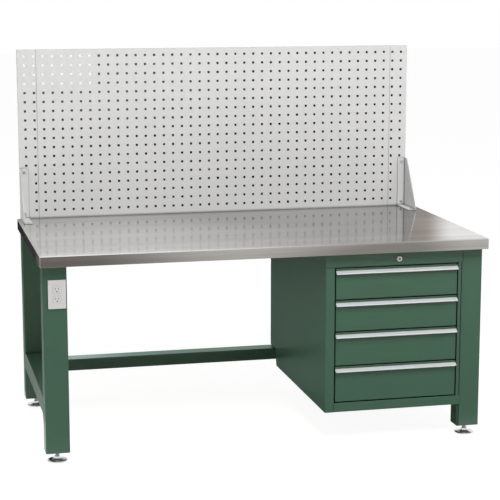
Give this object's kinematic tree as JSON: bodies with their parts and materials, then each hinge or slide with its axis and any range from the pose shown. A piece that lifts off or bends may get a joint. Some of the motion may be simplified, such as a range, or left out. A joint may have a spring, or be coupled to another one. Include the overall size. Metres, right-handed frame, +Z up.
{
  "type": "stainless steel workbench",
  "caption": "Workbench with a stainless steel top on tube legs, a drawer cabinet hung under one end, an outlet in a leg and a perforated panel along the rear edge.",
  "frame": {"origin": "on the floor under the middle of the outer box", "axes": "+X along the worktop to the right, front towards -Y, +Z up"},
  "size_m": [1.8288, 0.9776, 1.5752],
  "materials": {
    "stainless": "brushed along its length",
    "board": "raw board",
    "green_paint": "satin powder coat",
    "grey_paint": "matt powder coat",
    "chrome": "bright plated",
    "zinc": "bright zinc",
    "galvanised": "dull galvanised",
    "aluminium": "natural anodised",
    "plastic": "smooth"
  },
  "bodies": {
    "bench": {"worktop_skin": "stainless", "worktop_core": "board", "leg_front_left": "green_paint", "leg_front_right": "green_paint", "leg_rear_left": "green_paint", "leg_rear_right": "green_paint", "leg_top_plates": "green_paint", "leg_foot_plates": "green_paint", "side_rail_left": "green_paint", "side_rail_right": "green_paint", "stringer": "green_paint", "frame_bolts": "zinc", "worktop_screws": "zinc", "cabinet_side_left": "green_paint", "cabinet_side_right": "green_paint", "cabinet_bottom": "green_paint", "cabinet_back": "green_paint", "riser_front": "green_paint", "riser_side_left": "green_paint", "riser_side_right": "green_paint", "slide_uprights": "zinc", "slide_fixed_members": "zinc", "cabinet_bolts": "zinc", "lock_body": "chrome", "outlet_box": "galvanised", "outlet_receptacle": "plastic", "outlet_plate": "plastic", "pegboard_centre": "grey_paint", "pegboard_upright_left": "grey_paint", "pegboard_upright_right": "grey_paint", "gusset_left": "grey_paint", "gusset_right": "grey_paint", "panel_fasteners": "zinc"},
    "foot_front_left": {"foot_front_left": "chrome"},
    "foot_front_right": {"foot_front_right": "chrome"},
    "foot_rear_left": {"foot_rear_left": "chrome"},
    "foot_rear_right": {"foot_rear_right": "chrome"},
    "drawer1": {"drawer1_box": "galvanised", "drawer1_front": "green_paint", "drawer1_pull": "aluminium", "drawer1_runner": "zinc"},
    "drawer1_mid": {"drawer1_slide_mid": "zinc"},
    "drawer2": {"drawer2_box": "galvanised", "drawer2_front": "green_paint", "drawer2_pull": "aluminium", "drawer2_runner": "zinc"},
    "drawer2_mid": {"drawer2_slide_mid": "zinc"},
    "drawer3": {"drawer3_box": "galvanised", "drawer3_front": "green_paint", "drawer3_pull": "aluminium", "drawer3_runner": "zinc"},
    "drawer3_mid": {"drawer3_slide_mid": "zinc"},
    "drawer4": {"drawer4_box": "galvanised", "drawer4_front": "green_paint", "drawer4_pull": "aluminium", "drawer4_runner": "zinc"},
    "drawer4_mid": {"drawer4_slide_mid": "zinc"},
    "lock": {"lock_plug": "zinc", "lock_cam": "zinc"}
  },
  "joints": [
    {"name": "drawer1_slide", "type": "slide", "parent": "bench", "child": "drawer1", "axis": [0, -1, 0], "range_m": [0, 0.7]},
    {"name": "drawer1_mid_slide", "type": "slide", "parent": "bench", "child": "drawer1_mid", "axis": [0, -1, 0], "range_m": [0, 0.35]},
    {"name": "drawer2_slide", "type": "slide", "parent": "bench", "child": "drawer2", "axis": [0, -1, 0], "range_m": [0, 0.7]},
    {"name": "drawer2_mid_slide", "type": "slide", "parent": "bench", "child": "drawer2_mid", "axis": [0, -1, 0], "range_m": [0, 0.35]},
    {"name": "drawer3_slide", "type": "slide", "parent": "bench", "child": "drawer3", "axis": [0, -1, 0], "range_m": [0, 0.7]},
    {"name": "drawer3_mid_slide", "type": "slide", "parent": "bench", "child": "drawer3_mid", "axis": [0, -1, 0], "range_m": [0, 0.35]},
    {"name": "drawer4_slide", "type": "slide", "parent": "bench", "child": "drawer4", "axis": [0, -1, 0], "range_m": [0, 0.7]},
    {"name": "drawer4_mid_slide", "type": "slide", "parent": "bench", "child": "drawer4_mid", "axis": [0, -1, 0], "range_m": [0, 0.35]},
    {"name": "lock_turn", "type": "hinge", "parent": "bench", "child": "lock", "pos_m": [0.5426, -0.45325, 0.76225], "axis": [0, 1, 0], "range_deg": [0, 90]},
    {"name": "foot_front_left_height", "type": "slide", "parent": "bench", "child": "foot_front_left", "axis": [0, 0, 1], "range_m": [-0.015, 0.012]},
    {"name": "foot_front_right_height", "type": "slide", "parent": "bench", "child": "foot_front_right", "axis": [0, 0, 1], "range_m": [-0.015, 0.012]},
    {"name": "foot_rear_left_height", "type": "slide", "parent": "bench", "child": "foot_rear_left", "axis": [0, 0, 1], "range_m": [-0.015, 0.012]},
    {"name": "foot_rear_right_height", "type": "slide", "parent": "bench", "child": "foot_rear_right", "axis": [0, 0, 1], "range_m": [-0.015, 0.012]}
  ],
  "couplings": [
    {"joint": "drawer1_mid_slide", "follows": "drawer1_slide", "ratio": 0.5},
    {"joint": "drawer2_mid_slide", "follows": "drawer2_slide", "ratio": 0.5},
    {"joint": "drawer3_mid_slide", "follows": "drawer3_slide", "ratio": 0.5},
    {"joint": "drawer4_mid_slide", "follows": "drawer4_slide", "ratio": 0.5}
  ]
}
